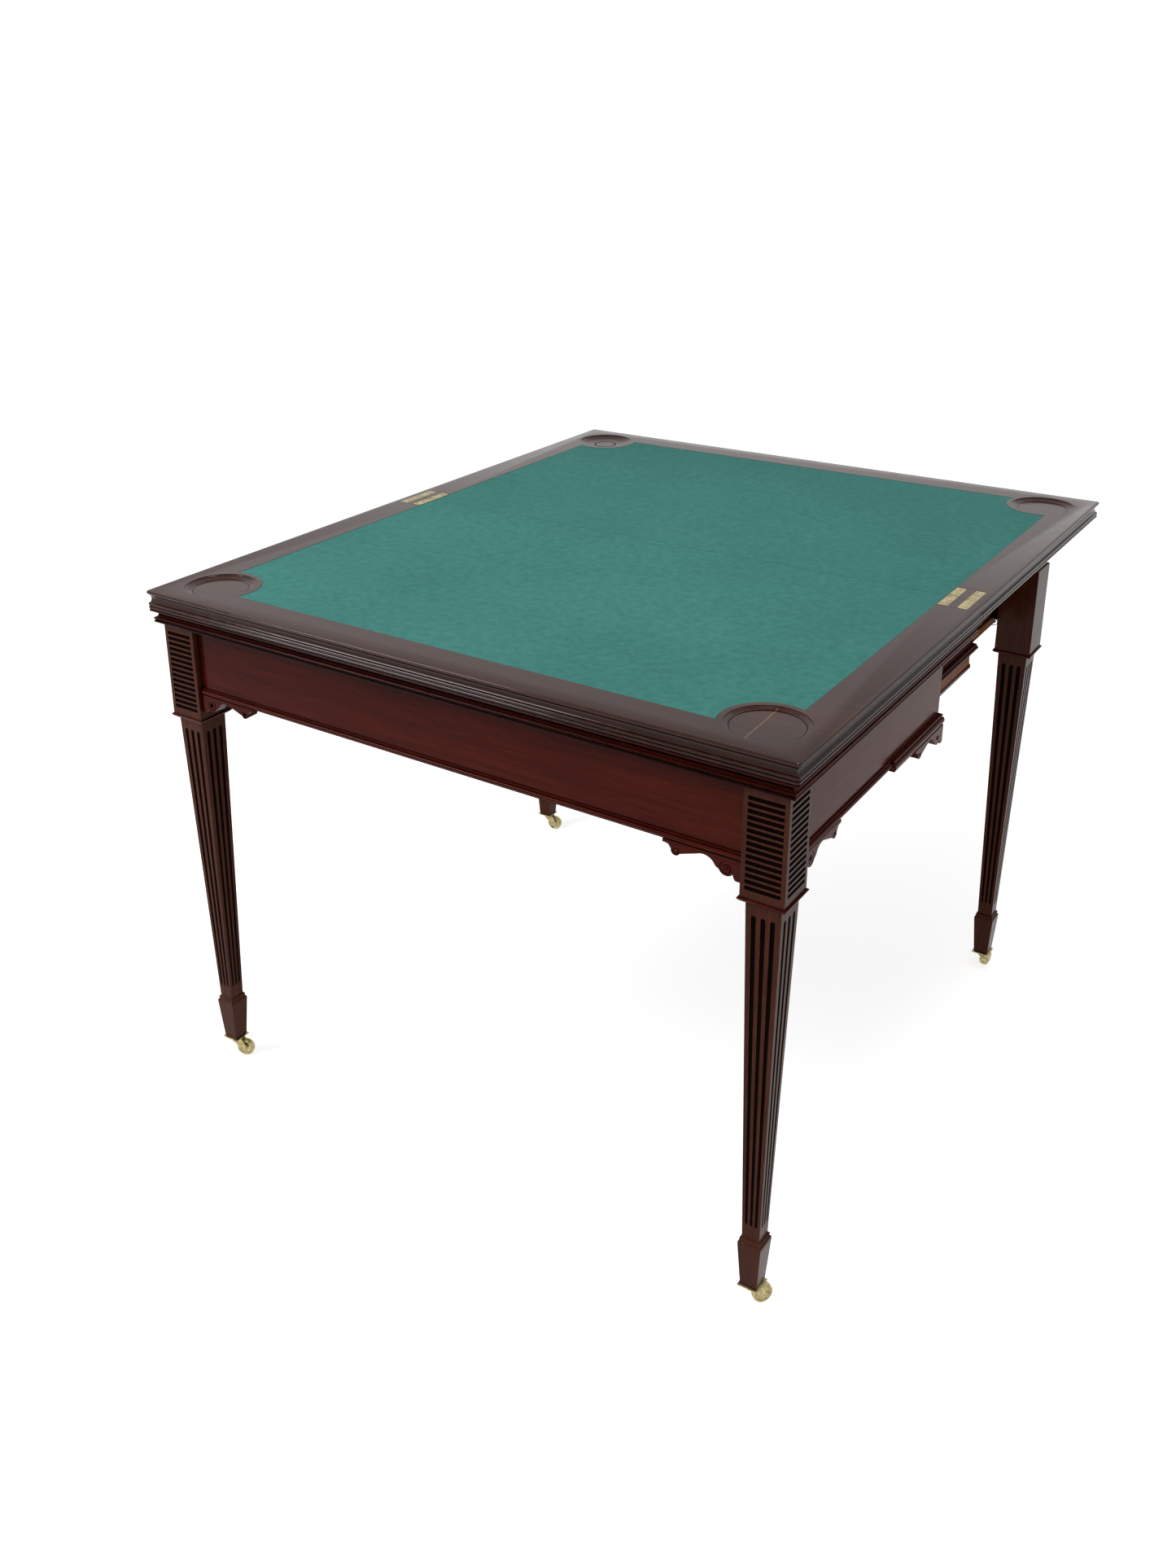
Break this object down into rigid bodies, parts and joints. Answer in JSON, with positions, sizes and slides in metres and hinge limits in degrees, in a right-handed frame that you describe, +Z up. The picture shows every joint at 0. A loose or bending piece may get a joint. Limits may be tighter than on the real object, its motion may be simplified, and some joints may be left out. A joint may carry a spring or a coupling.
{
  "type": "gaming table",
  "caption": "Fold-over card table, open: baize playing surface with corner counter dishes, fluted tapered legs on brass casters, and a rear frame that draws out on slides.",
  "frame": {"origin": "floor under the middle of the hinge line between the two leaves", "axes": "+Z up, +X to the right along the front apron, +Y from the fixed leaf to the opened flap"},
  "size_m": [0.95, 1.11, 0.75],
  "materials": {
    "mahogany": "french-polished, glossy",
    "slide_wood": "oiled, worn by sliding",
    "baize": "felted wool cloth",
    "brass": "polished, lightly tarnished"
  },
  "bodies": {
    "frame": {"fixed_leaf": "mahogany", "fixed_baize": "baize", "fixed_hinge_plates_left": "brass", "fixed_hinge_plates_right": "brass", "front_cornice": "mahogany", "left_cornice": "mahogany", "right_cornice": "mahogany", "front_apron": "mahogany", "left_apron": "mahogany", "right_apron": "mahogany", "front_bead": "mahogany", "left_bead": "mahogany", "right_bead": "mahogany", "front_bracket_left": "mahogany", "front_bracket_right": "mahogany", "side_bracket_left": "mahogany", "side_bracket_right": "mahogany", "dock_bracket_left": "mahogany", "dock_bracket_right": "mahogany", "cross_rail": "slide_wood", "slide_guide_left": "slide_wood", "slide_guide_right": "slide_wood", "leg_front_left": "mahogany", "leg_front_right": "mahogany", "collar_front_left": "mahogany", "collar_front_right": "mahogany", "caster_plate_front_left": "brass", "caster_plate_front_right": "brass"},
    "hinge_links": {"hinge_link_left_first": "brass", "hinge_link_left_second": "brass", "hinge_link_right_first": "brass", "hinge_link_right_second": "brass"},
    "flap": {"flap_leaf": "mahogany", "flap_baize": "baize", "flap_hinge_plates_left": "brass", "flap_hinge_plates_right": "brass"},
    "mid_slides": {"mid_slide_left": "slide_wood", "mid_slide_right": "slide_wood", "mid_slide_tie": "slide_wood"},
    "rear_frame": {"rear_slide_left": "slide_wood", "rear_slide_right": "slide_wood", "rear_apron": "mahogany", "rear_bead": "mahogany", "rear_bracket_left": "mahogany", "rear_bracket_right": "mahogany", "leg_rear_left": "mahogany", "leg_rear_right": "mahogany", "collar_rear_left": "mahogany", "collar_rear_right": "mahogany", "caster_plate_rear_left": "brass", "caster_plate_rear_right": "brass"},
    "caster_front_left": {"caster_fork_front_left": "brass"},
    "wheel_front_left": {"caster_wheel_front_left": "brass"},
    "caster_front_right": {"caster_fork_front_right": "brass"},
    "wheel_front_right": {"caster_wheel_front_right": "brass"},
    "caster_rear_left": {"caster_fork_rear_left": "brass"},
    "wheel_rear_left": {"caster_wheel_rear_left": "brass"},
    "caster_rear_right": {"caster_fork_rear_right": "brass"},
    "wheel_rear_right": {"caster_wheel_rear_right": "brass"}
  },
  "joints": [
    {"name": "flap_fold", "type": "hinge", "parent": "frame", "child": "flap", "pos_m": [0, 0, 0.75025], "axis": [1, 0, 0], "range_deg": [0, 180]},
    {"name": "link_fold", "type": "hinge", "parent": "frame", "child": "hinge_links", "pos_m": [0, -0.00225, 0.748], "axis": [1, 0, 0], "range_deg": [0, 90]},
    {"name": "mid_slide", "type": "slide", "parent": "frame", "child": "mid_slides", "axis": [0, 1, 0], "range_m": [-0.255, 0]},
    {"name": "rear_slide", "type": "slide", "parent": "mid_slides", "child": "rear_frame", "axis": [0, 1, 0], "range_m": [-0.115, 0]},
    {"name": "swivel_front_left", "type": "hinge", "parent": "frame", "child": "caster_front_left", "pos_m": [-0.434, -0.514, 0.0322], "axis": [0, 0, 1], "continuous": true},
    {"name": "wheel_front_left", "type": "hinge", "parent": "caster_front_left", "child": "wheel_front_left", "pos_m": [-0.42131, -0.50808, 0.013], "axis": [-0.4226, 0.9063, 0], "continuous": true},
    {"name": "swivel_front_right", "type": "hinge", "parent": "frame", "child": "caster_front_right", "pos_m": [0.434, -0.514, 0.0322], "axis": [0, 0, 1], "continuous": true},
    {"name": "wheel_front_right", "type": "hinge", "parent": "caster_front_right", "child": "wheel_front_right", "pos_m": [0.44203, -0.50253, 0.013], "axis": [-0.8192, 0.5736, 0], "continuous": true},
    {"name": "swivel_rear_left", "type": "hinge", "parent": "rear_frame", "child": "caster_rear_left", "pos_m": [-0.434, 0.325, 0.0322], "axis": [0, 0, 1], "continuous": true},
    {"name": "wheel_rear_left", "type": "hinge", "parent": "caster_rear_left", "child": "wheel_rear_left", "pos_m": [-0.42084, 0.32979, 0.013], "axis": [-0.342, 0.9397, 0], "continuous": true},
    {"name": "swivel_rear_right", "type": "hinge", "parent": "rear_frame", "child": "caster_rear_right", "pos_m": [0.434, 0.325, 0.0322], "axis": [0, 0, 1], "continuous": true},
    {"name": "wheel_rear_right", "type": "hinge", "parent": "caster_rear_right", "child": "wheel_rear_right", "pos_m": [0.43643, 0.33879, 0.013], "axis": [-0.9848, 0.1736, 0], "continuous": true}
  ],
  "couplings": [
    {"joint": "link_fold", "follows": "flap_fold", "ratio": 0.5}
  ]
}
